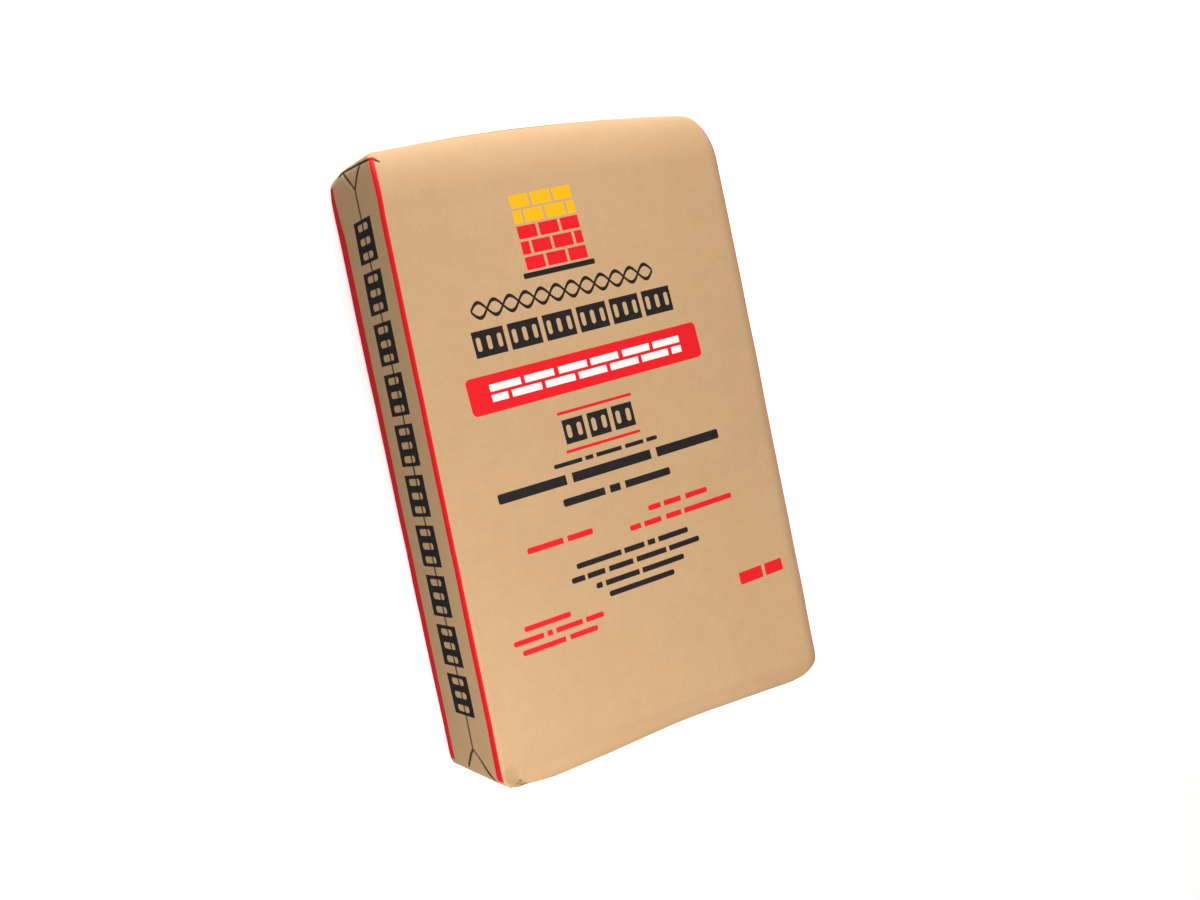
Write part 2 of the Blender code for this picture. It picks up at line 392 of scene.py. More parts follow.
def gusset_relief(shape, height, z):
    """Sharp folds of a narrow side, as depths below its smooth surface."""
    places = np.stack([height, z], 1)
    crease = np.full(len(height), 1.0)
    for start, end in gusset_folds():
        crease = np.minimum(crease, far_from(places, start, end))
    return -shape.crease * np.maximum(0, 1 - crease / 0.0022)


def lap_relief(shape, girth, height):
    """The edge of the folded top end, standing over the side and the front's corner."""
    line_u = np.array([point[0] for point in LAP_EDGE])
    line_v = np.array([point[1] for point in LAP_EDGE])
    past = height - np.interp(girth, line_u, line_v)
    fade = smooth((girth - line_u[0] + 0.006) / 0.010) * smooth((line_u[-1] - girth) / 0.004)
    rise = smooth(past / 0.0010 + 0.5) * (1 - smooth((past - 0.001) / 0.010))
    shadow = np.exp(-((past + 0.0010) / 0.0009) ** 2)
    return fade * shape.lap * (rise - 0.5 * shadow)


def tuck_relief(shape, x, height):
    """The tucked paper at the bottom left corner of the front, and its pinhole."""
    off_x = (x - TUCK_MIDDLE[0]) / TUCK_HALF[0]
    off_y = (height - TUCK_MIDDLE[1]) / TUCK_HALF[1]
    inside = 1 - smooth((np.hypot(off_x, off_y) - 0.72) / 0.34)
    pin = np.exp(-(np.hypot(x - TUCK_PIN[0], height - TUCK_PIN[1]) / 0.0015) ** 2)
    return -shape.tuck * inside - 0.0004 * pin


def slow_waves(points, size, seed):
    """Smooth noise from -1 to 1 with bumps of about this size, in metres."""
    shift = Vector((seed * 7.1, seed * 3.7, seed * 5.3))
    return np.array([noise.noise(Vector(point) / size + shift) for point in points])


def end_relief(x, z, is_end):
    """Folded flaps on the square ends: creases from the pasted sheet to the sack's corners."""
    low, high = PATCH_BOXES["top"]
    places = np.stack([np.abs(x), np.abs(z - HALF_THICKNESS)], 1)
    corner = (HALF_WIDTH - 0.004, HALF_THICKNESS - 0.004)
    away = far_from(places, (high.x - 0.06, (high.z - low.z) / 2 - 0.05), corner)
    return np.where(is_end, -0.0008 * np.maximum(0, 1 - away / 0.003), 0)


def slot_relief(height, z, is_right):
    """The slit of the valve, pressed in round the sleeve."""
    middle = (SLEEVE_LOW.y + SLEEVE_HIGH.y) / 2 + OUTLINE_SHIFT
    near = np.exp(-((height - middle) / 0.0035) ** 2)
    within = smooth((z - SLEEVE_LOW.z + 0.006) / 0.008) * smooth((SLEEVE_HIGH.z + 0.006 - z) / 0.008)
    return np.where(is_right, -0.0016 * near * within, 0)


def pucker_relief(x, height, is_face):
    """Small pulls in the paper that run from each end into the two wide faces."""
    reach = np.clip((np.abs(height) - 0.225) / 0.05, 0, 1) * np.clip((0.3115 - np.abs(height)) / 0.02, 0, 1)
    comb = np.sin(x / 0.0125 + 1.3 * np.sin(x / 0.041 + height * 9)) * np.cos(x / 0.031 + 0.6)
    return np.where(is_face, 0.00022 * reach * comb, 0)


def seam_relief(x, is_back):
    """The back's glue seam: all of the back is drawn in but the lapped strip."""
    strip = smooth((x - SEAM_LOW) / 0.0016 + 0.5) * smooth((SEAM_HIGH - x) / 0.0016 + 0.5)
    return np.where(is_back, -0.0005 * (1 - strip), 0)


def sack_relief(shape, block, points, height):
    """How far each point of the paper stands out of the smooth filled shape."""
    left = block[:, 0] < -HALF_WIDTH + 1e-6
    right = block[:, 0] > HALF_WIDTH - 1e-6
    front = block[:, 2] > THICKNESS - 1e-6
    back = block[:, 2] < 1e-6
    is_end = np.abs(block[:, 1]) > HALF_LENGTH - 1e-6
    relief = np.where(left | right, gusset_relief(shape, height, block[:, 2]), 0)
    girth = np.where(left & ~front, -HALF_WIDTH - THICKNESS + block[:, 2], block[:, 0])
    lapped = (left | front) & (block[:, 0] < -0.15)
    relief += np.where(lapped, lap_relief(shape, girth, height), 0)
    relief += np.where(front, tuck_relief(shape, block[:, 0], height), 0)
    relief += end_relief(points[:, 0], points[:, 2], is_end)
    relief += slot_relief(height, points[:, 2], right)
    relief += pucker_relief(points[:, 0], height, front & ~is_end)
    relief += seam_relief(block[:, 0], back & ~is_end)
    waves = slow_waves(points, 0.085, 1) + 0.45 * slow_waves(points, 0.034, 2)
    relief += shape.unrest * waves * np.where(back, 0, 1)
    return relief


def lattice_sides(ids):
    """The quads of the block's six sides, by the side's name."""
    last = [n - 1 for n in ids.shape]
    sides = (
        ("front", ids[:, :, last[2]], False),
        ("back", ids[:, :, 0], True),
        ("left", ids[0, :, :], True),
        ("right", ids[last[0], :, :], False),
        ("top", ids[:, last[1], :], True),
        ("bottom", ids[:, 0, :], False),
    )
    for name, grid, flip in sides:
        quads = np.stack([grid[:-1, :-1], grid[1:, :-1], grid[1:, 1:], grid[:-1, 1:]], -1).reshape(-1, 4)
        yield name, quads[:, ::-1] if flip else quads


def web_place(name, block):
    """Where a block point lies on the sack's paper laid flat, in metres from the front's middle."""
    x, y, z = block[:, 0], block[:, 1], block[:, 2]
    if name == "front":
        return np.stack([x, y], 1)
    if name == "left":
        return np.stack([-HALF_WIDTH - THICKNESS + z, y], 1)
    if name == "right":
        return np.stack([HALF_WIDTH + THICKNESS - z, y], 1)
    if name == "back":
        return np.stack([-2 * HALF_WIDTH - THICKNESS - x, y], 1)
    if name == "top":
        return np.stack([x, HALF_LENGTH + 0.03 + z], 1)
    return np.stack([x, -HALF_LENGTH - 0.03 - z], 1)


def bake_place(web):
    """Fit the flat web into a square: most of it for the printed faces, and the two ends on top."""
    u, v = web[:, 0], web[:, 1]
    strip = np.abs(v) <= HALF_LENGTH + 1e-6
    printed = 0.005 + (u + HALF_WIDTH + THICKNESS) / (2 * (HALF_WIDTH + THICKNESS)) * 0.785
    plain = 0.81 + (u + 3 * HALF_WIDTH + THICKNESS) / (2 * HALF_WIDTH) * 0.185
    flat_u = np.where(u < -HALF_WIDTH - THICKNESS + 1e-6, plain, printed)
    flat_v = 0.005 + (v + HALF_LENGTH) / (2 * HALF_LENGTH) * 0.865
    end_u = np.where(v > 0, 0.005, 0.505) + (u + HALF_WIDTH) / (2 * HALF_WIDTH) * 0.49
    end_v = 0.885 + (np.abs(v) - HALF_LENGTH - 0.03) / THICKNESS * 0.11
    return np.stack([np.where(strip, flat_u, end_u), np.where(strip, flat_v, end_v)], 1)


def stripe_place(web):
    """How far each place lies from the middles of its side's two stripes, as a share of their half widths."""
    back_middle = -2 * HALF_WIDTH - THICKNESS
    girth = -np.abs(web[:, 0])
    girth = np.where(girth < back_middle, 2 * back_middle - girth, girth)
    shares = []
    for stripe in (FRONT_STRIPE, BACK_STRIPE):
        along, outer, inner = np.array(stripe).T
        outer, inner = np.interp(web[:, 1], along, outer), np.interp(web[:, 1], along, inner)
        shares.append((girth - (outer + inner) / 2) / ((inner - outer) / 2))
    return np.stack(shares, 1)


def add_uv(mesh, name, places):
    """Add a UV map from one place for each face corner."""
    layer = mesh.uv_layers.new(name=name)
    layer.data.foreach_set("uv", places.astype(np.float32).ravel())


def block_shell(lattice):
    """The points of a block's surface, and their numbers on the lattice."""
    across, along, up = lattice
    shell = np.zeros((len(across), len(along), len(up)), bool)
    for axis in range(3):
        edge = [slice(None)] * 3
        for end in (0, -1):
            edge[axis] = end
            shell[tuple(edge)] = True
    ids = np.full(shell.shape, -1)
    where = np.argwhere(shell)
    ids[shell] = np.arange(len(where))
    block = np.stack([across[where[:, 0]], along[where[:, 1]], up[where[:, 2]]], 1)
    return block, ids


def move_out(mesh, points, distance):
    """Move every point of a mesh along its normal."""
    normals = np.zeros(len(points) * 3, np.float32)
    mesh.vertex_normals.foreach_get("vector", normals)
    points = points + normals.reshape(-1, 3) * np.reshape(distance, (-1, 1))
    points[:, 2] = np.maximum(points[:, 2], 0)
    mesh.vertices.foreach_set("co", points.astype(np.float32).ravel())
    mesh.update()
    mesh.validate()
    mesh.shade_smooth()


def sack_mesh(shape):
    """The whole paper skin as one closed mesh, with its flat web as a UV map."""
    block, ids = block_shell(fine_lattice())
    points, height = filled_points(shape, block)
    faces, web, bake = [], [], []
    for name, quads in lattice_sides(ids):
        faces.append(quads)
        places = web_place(name, block[quads.ravel()])
        web.append(places)
        bake.append(bake_place(places - (np.array([1e-5, 0]) if name == "back" else 0)))
    faces, web, bake = np.concatenate(faces), np.concatenate(web), np.concatenate(bake)
    mesh = bpy.data.meshes.new("sack_paper")
    mesh.from_pydata(points.tolist(), [], faces.tolist())
    add_uv(mesh, "web", web)
    add_uv(mesh, "stripes", stripe_place(web))
    add_uv(mesh, "OFBake", bake)
    move_out(mesh, points, sack_relief(shape, block, points, height))
    return mesh


def cement_mesh(shape):
    """The settled cement: the sack's shape, drawn in from the paper."""
    block, ids = block_shell(coarse_lattice())
    points, height = filled_points(shape, block)
    faces = np.concatenate([quads for _, quads in lattice_sides(ids)])
    mesh = bpy.data.meshes.new("settled_cement")
    mesh.from_pydata(points.tolist(), [], faces.tolist())
    lumps = 0.0006 * slow_waves(points, 0.03, 4)
    move_out(mesh, points, sack_relief(shape, block, points, height) + lumps - shape.fill_gap)
    return mesh


def add_node(tree, kind, sockets=None, **settings):
    """Add a node with its settings, its values and its links."""
    made = tree.nodes.new(kind)
    for name, value in settings.items():
        setattr(made, name, value)
    for name, value in (sockets or {}).items():
        if isinstance(value, bpy.types.NodeSocket):
            tree.links.new(value, made.inputs[name])
        else:
            made.inputs[name].default_value = value
    return made


def math_node(tree, operation, first, second=0.0, third=0.0):
    """The result of one sum."""
    return add_node(tree, "ShaderNodeMath", {0: first, 1: second, 2: third}, operation=operation).outputs[0]


def new_group(name, inputs, outputs):
    """A node group with its inputs and outputs."""
    group = bpy.data.node_groups.new(name, "ShaderNodeTree")
    for titles, way in ((inputs, "INPUT"), (outputs, "OUTPUT")):
        for title, kind in titles.items():
            group.interface.new_socket(title, in_out=way, socket_type="NodeSocket" + kind)
    return group, add_node(group, "NodeGroupInput").outputs, add_node(group, "NodeGroupOutput").inputs


def edge_mask(tree, past, blur):
    """1 where a distance past an edge is below zero, and 0 beyond the blur."""
    sockets = {"Value": past, "From Min": blur, "From Max": 0.0, "To Min": 0.0, "To Max": 1.0}
    return add_node(tree, "ShaderNodeMapRange", sockets, interpolation_type="SMOOTHSTEP").outputs[0]


def ink_row_group():
    """A printed bar with rounded corners, and the share of the way along it."""
    group, given, result = new_group(
        "ink_row",
        {"Place": "Vector", "Middle": "Vector", "Half": "Vector", "Corner": "Float", "Blur": "Float"},
        {"Ink": "Float", "Share": "Float"},
    )
    corner = add_node(group, "ShaderNodeCombineXYZ", {0: given["Corner"], 1: given["Corner"]}).outputs[0]
    vectors = {}
    for name, operation, first, second in (
        ("inner", "SUBTRACT", given["Half"], corner),
        ("from_middle", "SUBTRACT", given["Place"], given["Middle"]),
        ("away", "ABSOLUTE", "from_middle", (0, 0, 0)),
        ("past", "SUBTRACT", "away", "inner"),
        ("out", "MAXIMUM", "past", (0, 0, 0)),
        ("flat", "MULTIPLY", "out", (1, 1, 0)),
    ):
        first, second = (vectors.get(item, item) if isinstance(item, str) else item for item in (first, second))
        vectors[name] = add_node(group, "ShaderNodeVectorMath", {0: first, 1: second}, operation=operation).outputs[0]
    far = add_node(group, "ShaderNodeVectorMath", {0: vectors["flat"]}, operation="LENGTH").outputs["Value"]
    past = math_node(group, "SUBTRACT", far, given["Corner"])
    group.links.new(edge_mask(group, past, given["Blur"]), result["Ink"])
    split = add_node(group, "ShaderNodeSeparateXYZ", {0: vectors["from_middle"]}).outputs[0]
    whole = add_node(group, "ShaderNodeSeparateXYZ", {0: given["Half"]}).outputs[0]
    share = math_node(group, "MULTIPLY_ADD", math_node(group, "DIVIDE", split, whole), 0.5, 0.5)
    group.links.new(share, result["Share"])
    return group


def brick_row_group():
    """A row of equal cored bricks seen from above: blocks with slots through them."""
    group, given, result = new_group(
        "cored_brick_row",
        {"Place": "Vector", "Middle": "Vector", "Half": "Vector", "Count": "Float", "Gap": "Float",
         "Holes": "Float", "Hole": "Float", "Slot": "Float", "Blur": "Float"},
        {"Ink": "Float"},
    )
    off = add_node(group, "ShaderNodeVectorMath", {0: given["Place"], 1: given["Middle"]}, operation="SUBTRACT")
    off = add_node(group, "ShaderNodeSeparateXYZ", {0: off.outputs[0]}).outputs
    half = add_node(group, "ShaderNodeSeparateXYZ", {0: given["Half"]}).outputs
    whole = math_node(group, "MULTIPLY_ADD", half[0], 2.0, given["Gap"])
    pitch = math_node(group, "DIVIDE", whole, given["Count"])
    brick = math_node(group, "SUBTRACT", pitch, given["Gap"])
    from_start = math_node(group, "ADD", off[0], half[0])
    within = math_node(group, "FLOORED_MODULO", from_start, pitch)
    from_middle = math_node(group, "MULTIPLY_ADD", brick, -0.5, within)
    past_x = math_node(group, "MULTIPLY_ADD", brick, -0.5, math_node(group, "ABSOLUTE", from_middle))
    height = math_node(group, "ABSOLUTE", off[1])
    past_y = math_node(group, "SUBTRACT", height, half[1])
    past_row = math_node(group, "SUBTRACT", math_node(group, "ABSOLUTE", off[0]), half[0])
    past = math_node(group, "MAXIMUM", math_node(group, "MAXIMUM", past_x, past_y), past_row)
    hole_pitch = math_node(group, "DIVIDE", brick, given["Holes"])
    in_hole = math_node(group, "FLOORED_MODULO", within, hole_pitch)
    hole_x = math_node(group, "MULTIPLY_ADD", hole_pitch, -0.5, in_hole)
    hole_y = math_node(group, "MAXIMUM", math_node(group, "SUBTRACT", height, given["Slot"]), 0.0)
    hole = add_node(group, "ShaderNodeCombineXYZ", {0: hole_x, 1: hole_y}).outputs[0]
    far = add_node(group, "ShaderNodeVectorMath", {0: hole}, operation="LENGTH").outputs["Value"]
    past_hole = math_node(group, "SUBTRACT", given["Hole"], far)
    past = math_node(group, "MAXIMUM", past, past_hole)
    group.links.new(edge_mask(group, past, given["Blur"]), result["Ink"])
    return group


def fold_line_group():
    """A fold line: 1 on a straight line between two places, and 0 away from it."""
    group, given, result = new_group(
        "fold_line", {"Place": "Vector", "Start": "Vector", "End": "Vector", "Width": "Float"}, {"Line": "Float"}
    )
    way = add_node(group, "ShaderNodeVectorMath", {0: given["End"], 1: given["Start"]},
                   operation="SUBTRACT").outputs[0]
    off = add_node(group, "ShaderNodeVectorMath", {0: given["Place"], 1: given["Start"]},
                   operation="SUBTRACT").outputs[0]
    along = add_node(group, "ShaderNodeVectorMath", {0: off, 1: way}, operation="DOT_PRODUCT").outputs["Value"]
    whole = add_node(group, "ShaderNodeVectorMath", {0: way, 1: way}, operation="DOT_PRODUCT").outputs["Value"]
    share = add_node(group, "ShaderNodeClamp", {"Value": math_node(group, "DIVIDE", along, whole)}).outputs[0]
    foot = add_node(group, "ShaderNodeVectorMath", {0: way, "Scale": share}, operation="SCALE").outputs[0]
    far = add_node(group, "ShaderNodeVectorMath", {0: off, 1: foot}, operation="DISTANCE").outputs["Value"]
    group.links.new(edge_mask(group, far, given["Width"]), result["Line"])
    return group


# Printed bars in the print's own frame, in millimetres from the middle of the front:
# ink, middle, size, corner radius, and the bar's blocks with the gaps between them
FRONT_BARS = (
    ("red", (-13, 71.0), (269, 36.5), 5.0, "1"),
    ("yellow", (-17, 247.0), (70, 12.5), 0.6, "21 3 22 3 21"),
    ("yellow", (-17, 231.5), (70, 12.5), 0.6, "9 3 21 3 22 3 9"),
    ("red", (-17, 216.0), (70, 12.5), 0.6, "21 3 22 3 21"),
    ("red", (-17, 200.5), (70, 12.5), 0.6, "9 3 21 3 22 3 9"),
    ("red", (-17, 185.0), (70, 12.5), 0.6, "21 3 22 3 21"),
    ("black", (-17, 173.5), (82, 5), 1.0, "1"),
    ("white", (-13, 76.2), (222, 6.6), 0.6, "30 4 30 4 30 4 30 4 30 4 30"),
    ("white", (-13, 66.0), (222, 6.6), 0.6, "15 4 30 4 30 4 30 4 30 4 30 4 11"),
    ("red", (-18, 34.5), (87, 2.6), 0.0, "1"),
    ("red", (-18, -4.0), (87, 2.6), 0.0, "1"),
    ("black", (-18, -15.0), (122, 3.8), 1.9, "32 4 9 4 30 4 22 4 13"),
    ("black", (-14, -30.0), (262, 9.5), 2.0, "74 7 92 7 78"),
    ("black", (-15, -52.0), (127, 7.2), 2.0, "48 6 12 6 55"),
    ("red", (-92, -86.5), (74, 5.6), 2.0, "40 5 29"),
    ("red", (50, -82.5), (74, 5.2), 2.0, "15 4 21 6 28"),
    ("red", (51, -96.5), (128, 5.2), 2.0, "13 4 21 6 19 4 61"),
    ("black", (-14.5, -116.0), (134, 5.2), 2.0, "52 4 24 4 9 4 37"),
    ("black", (-13.5, -128.5), (154, 5.2), 2.0, "15 3 20 5 29 4 36 4 38"),
    ("black", (-12.5, -141.0), (106, 5.2), 2.0, "7 4 40 4 51"),
    ("black", (-14, -153.0), (78, 5.2), 2.0, "1"),
    ("red", (130, -185.0), (57, 12.5), 1.5, "30 4 23"),
    ("red", (-126.5, -158.5), (52, 5.0), 2.0, "1"),
    ("red", (-116, -169.5), (102, 5.0), 2.0, "33 4 6 4 30 4 21"),
    ("red", (-117.5, -180.5), (85, 5.0), 2.0, "48 5 32"),
)

# Rows of cored bricks: ink, middle, size, count, gap, holes in each, hole radius, slot half length
FRONT_BRICKS = (
    ("black", (-14, 119.5), (230, 25.5), 6, 5.0, 3, 2.6, 4.5),
    ("black", (-18, 15.3), (82, 24.0), 3, 5.0, 2, 2.8, 4.0),
)
SIDE_BRICKS = (
    ("black", (6, -10), (498, 48.0), 10, 9.0, 3, 3.6, 10.5),
)

# The plait over the large bricks: its middle, half length, wave length, half height and stroke, in metres
PLAIT_MIDDLE = (-0.018, 0.1515)
PLAIT_HALF = 0.105
PLAIT_WAVE = 0.035
PLAIT_HEIGHT = 0.0075
PLAIT_STROKE = 0.0034


def most(tree, masks):
    """The strongest of several masks."""
    result = masks[0]
    for mask in masks[1:]:
        result = math_node(tree, "MAXIMUM", result, mask)
    return result


def millimetres(values):
    """A vector in metres from two values in millimetres."""
    return (values[0] / 1000, values[1] / 1000, 0)


def block_ramp(tree, share, blocks):
    """1 on the blocks of a bar, and 0 in the gaps between them."""
    lengths = [float(value) for value in blocks.split()]
    if len(lengths) < 2:
        return None
    whole = sum(lengths)
    ramp = add_node(tree, "ShaderNodeValToRGB", {0: share})
    ramp.color_ramp.interpolation = "CONSTANT"
    elements = ramp.color_ramp.elements
    place = 0.0
    for i, value in enumerate(lengths):
        element = elements[i] if i < 2 else elements.new(place / whole)
        element.position = place / whole
        element.color = (1, 1, 1, 1) if i % 2 == 0 else (0, 0, 0, 1)
        place += value
    return ramp.outputs[0]


def ink_masks(tree, place, bars, bar_group, bricks, brick_group):
    """One mask for each ink that is used in the bars and the rows of bricks."""
    inks = {}
    for ink, middle, size, corner, blocks in bars:
        row = add_node(tree, "ShaderNodeGroup", node_tree=bar_group)
        tree.links.new(place, row.inputs["Place"])
        row.inputs["Middle"].default_value = millimetres(middle)
        row.inputs["Half"].default_value = millimetres([value / 2 for value in size])
        row.inputs["Corner"].default_value = corner / 1000
        row.inputs["Blur"].default_value = 0.0004
        ramp = block_ramp(tree, row.outputs["Share"], blocks)
        mask = row.outputs["Ink"] if ramp is None else math_node(tree, "MULTIPLY", row.outputs["Ink"], ramp)
        inks.setdefault(ink, []).append(mask)
    for ink, middle, size, count, gap, holes, hole, slot in bricks:
        row = add_node(tree, "ShaderNodeGroup", node_tree=brick_group)
        tree.links.new(place, row.inputs["Place"])
        row.inputs["Middle"].default_value = millimetres(middle)
        row.inputs["Half"].default_value = millimetres([value / 2 for value in size])
        for name, value in (("Count", count), ("Holes", holes)):
            row.inputs[name].default_value = value
        for name, value in (("Gap", gap), ("Hole", hole), ("Slot", slot), ("Blur", 0.4)):
            row.inputs[name].default_value = value / 1000
        inks.setdefault(ink, []).append(row.outputs["Ink"])
    return {ink: most(tree, masks) for ink, masks in inks.items()}


def mixed(tree, share, first, second):
    """Two colours mixed by a share."""
    made = add_node(tree, "ShaderNodeMix", {0: share, 6: first, 7: second}, data_type="RGBA")
    return made.outputs[2]


def ranged(tree, value, low, high, to_low, to_high):
    """A value moved from one range to another."""
    sockets = {"Value": value, "From Min": low, "From Max": high, "To Min": to_low, "To Max": to_high}
    return add_node(tree, "ShaderNodeMapRange", sockets).outputs[0]


def paper_fibres(tree):
    """Fibres, cloudiness and broad tone of kraft paper, from 0 to 1 each.

    Real fibres are 3 mm long and 0.03 mm thick. They are drawn 0.6 mm thick, so that they show.
    """
    place = add_node(tree, "ShaderNodeTexCoord").outputs["Object"]
    layers = []
    for turn in (0.35, -0.5):
        lie = add_node(tree, "ShaderNodeMapping", {"Vector": place, "Rotation": (0.2, 0.3, turn),
                                                   "Scale": (1600, 180, 1600)})
        layers.append(add_node(tree, "ShaderNodeTexNoise", {"Vector": lie.outputs[0], "Scale": 1.0, "Detail": 2.0,
                                                             "Roughness": 0.5}).outputs["Fac"])
    fibres = math_node(tree, "MULTIPLY", math_node(tree, "ADD", *layers), 0.5)
    cloud = add_node(tree, "ShaderNodeTexNoise", {"Vector": place, "Scale": 70.0, "Detail": 4.0,
                                                   "Roughness": 0.6}).outputs["Fac"]
    wide = add_node(tree, "ShaderNodeTexNoise", {"Vector": place, "Scale": 9.0, "Detail": 3.0,
                                                  "Roughness": 0.5}).outputs["Fac"]
    return fibres, cloud, wide


def kraft_colour(tree, paper, fibres, cloud, wide):
    """Paper colour with its fibres and cloudiness."""
    level = math_node(tree, "ADD", ranged(tree, fibres, 0.35, 0.65, -0.045, 0.045),
                      ranged(tree, cloud, 0.3, 0.7, -0.022, 0.022))
    level = math_node(tree, "ADD", level, ranged(tree, wide, 0.3, 0.7, 0.98, 1.02))
    scaled = add_node(tree, "ShaderNodeVectorMath", {0: tuple(paper[:3]), "Scale": level}, operation="SCALE")
    return scaled.outputs[0]


def new_material(name):
    """A material, its nodes and its shader."""
    material = bpy.data.materials.new(name)
    material.use_nodes = True
    return material, material.node_tree, material.node_tree.nodes["Principled BSDF"]


def paper_bump(tree, shader, fibres, cloud):
    """The tooth of the paper, about a hundredth of a millimetre high and drawn a little higher."""
    tooth = math_node(tree, "ADD", math_node(tree, "MULTIPLY", fibres, 0.7),
                      math_node(tree, "MULTIPLY", cloud, 0.3))
    bump = add_node(tree, "ShaderNodeBump", {"Height": tooth, "Strength": 0.35, "Distance": 0.0004})
    tree.links.new(bump.outputs[0], shader.inputs["Normal"])


def stripe_masks(tree, height):
    """The stripes along the long edges, which end short of the folded ends."""
    shares = add_node(tree, "ShaderNodeUVMap", uv_map="stripes").outputs[0]
    shares = add_node(tree, "ShaderNodeSeparateXYZ", {0: shares}).outputs
    masks = []
    for share, stripe in zip(shares, (FRONT_STRIPE, BACK_STRIPE)):
        low, high = stripe[0][0], stripe[-1][0]
        past_end = math_node(tree, "ABSOLUTE", math_node(tree, "SUBTRACT", height, (high + low) / 2))
        past_end = math_node(tree, "SUBTRACT", past_end, (high - low) / 2)
        side = edge_mask(tree, math_node(tree, "SUBTRACT", math_node(tree, "ABSOLUTE", share), 1.0), 0.05)
        masks.append(math_node(tree, "MULTIPLY", side, edge_mask(tree, past_end, 0.0004)))
    return masks


def fold_shade_masks(tree, web, side_place, shape):
    """Painted shade lines along the side's folds and the lapped end's edge, and a painted shade dot at the tuck's
    pinhole.
    """
    lines = []
    for i, (start, finish) in enumerate(gusset_folds()):
        ends = [(block_height(shape, along), THICKNESS / 2 - up, 0) for along, up in (start, finish)]
        lines.append((side_place, ends, 0.0034 if i < CREASE_STEPS else 0.0028))
    for pair in zip(LAP_EDGE, LAP_EDGE[1:]):
        ends = [(u, block_height(shape, v - 0.0005), 0) for u, v in pair]
        lines.append((web, ends, 0.0018))
    # A painted shade dot at the tuck's pinhole.
    pin = (TUCK_PIN[0], block_height(shape, TUCK_PIN[1]), 0)
    lines.append((web, [pin, (pin[0] + 0.0004, pin[1], 0)], 0.0016))
    fold = fold_line_group()
    masks = []
    for place, (start, finish), width in lines:
        line = add_node(tree, "ShaderNodeGroup", node_tree=fold)
        tree.links.new(place, line.inputs["Place"])
        for name, value in (("Start", start), ("End", finish), ("Width", width)):
            line.inputs[name].default_value = value
        masks.append(line.outputs["Line"])
    return masks


def tuck_painted_shade_and_highlight(tree, shape, web):
    """Painted shade inside the tucked corner's edge and a painted highlight on that edge's right: the factor by which
    the paper colour is scaled there.
    """
    middle = (TUCK_MIDDLE[0], block_height(shape, TUCK_MIDDLE[1]), 0)
    low, high = (block_height(shape, TUCK_MIDDLE[1] + side * TUCK_HALF[1]) for side in (-1, 1))
    off = add_node(tree, "ShaderNodeVectorMath", {0: web, 1: middle}, operation="SUBTRACT").outputs[0]
    share = add_node(tree, "ShaderNodeVectorMath", {0: off, 1: (TUCK_HALF[0], (high - low) / 2, 1)},
                     operation="DIVIDE").outputs[0]
    far = add_node(tree, "ShaderNodeVectorMath", {0: share}, operation="LENGTH").outputs["Value"]
    inside = edge_mask(tree, math_node(tree, "SUBTRACT", far, 0.9), 0.3)
    right = add_node(tree, "ShaderNodeSeparateXYZ", {0: share}).outputs[0]
    painted_rim_highlight = math_node(tree, "ABSOLUTE", math_node(tree, "SUBTRACT", far, 1.12))
    painted_rim_highlight = math_node(tree, "MULTIPLY", edge_mask(tree, painted_rim_highlight, 0.14), math_node(tree, "MAXIMUM", right, 0.0))
    return math_node(tree, "MULTIPLY_ADD", painted_rim_highlight, 0.07, math_node(tree, "MULTIPLY_ADD", inside, -0.09, 1.0))


def plait_mask(tree, place):
    """A plain plait of two crossing waves, as an ornament over the large bricks."""
    split = add_node(tree, "ShaderNodeSeparateXYZ", {0: place}).outputs
    along = math_node(tree, "SUBTRACT", split[0], PLAIT_MIDDLE[0])
    up = math_node(tree, "SUBTRACT", split[1], PLAIT_MIDDLE[1])
    wave = math_node(tree, "SINE", math_node(tree, "MULTIPLY", along, 2 * math.pi / PLAIT_WAVE))
    wave = math_node(tree, "MULTIPLY", wave, PLAIT_HEIGHT)
    near = [math_node(tree, "ABSOLUTE", math_node(tree, kind, up, wave)) for kind in ("SUBTRACT", "ADD")]
    past = math_node(tree, "SUBTRACT", math_node(tree, "MINIMUM", *near), PLAIT_STROKE / 2)
    ends = math_node(tree, "SUBTRACT", math_node(tree, "ABSOLUTE", along), PLAIT_HALF)
    return edge_mask(tree, math_node(tree, "MAXIMUM", past, ends), 0.0004)


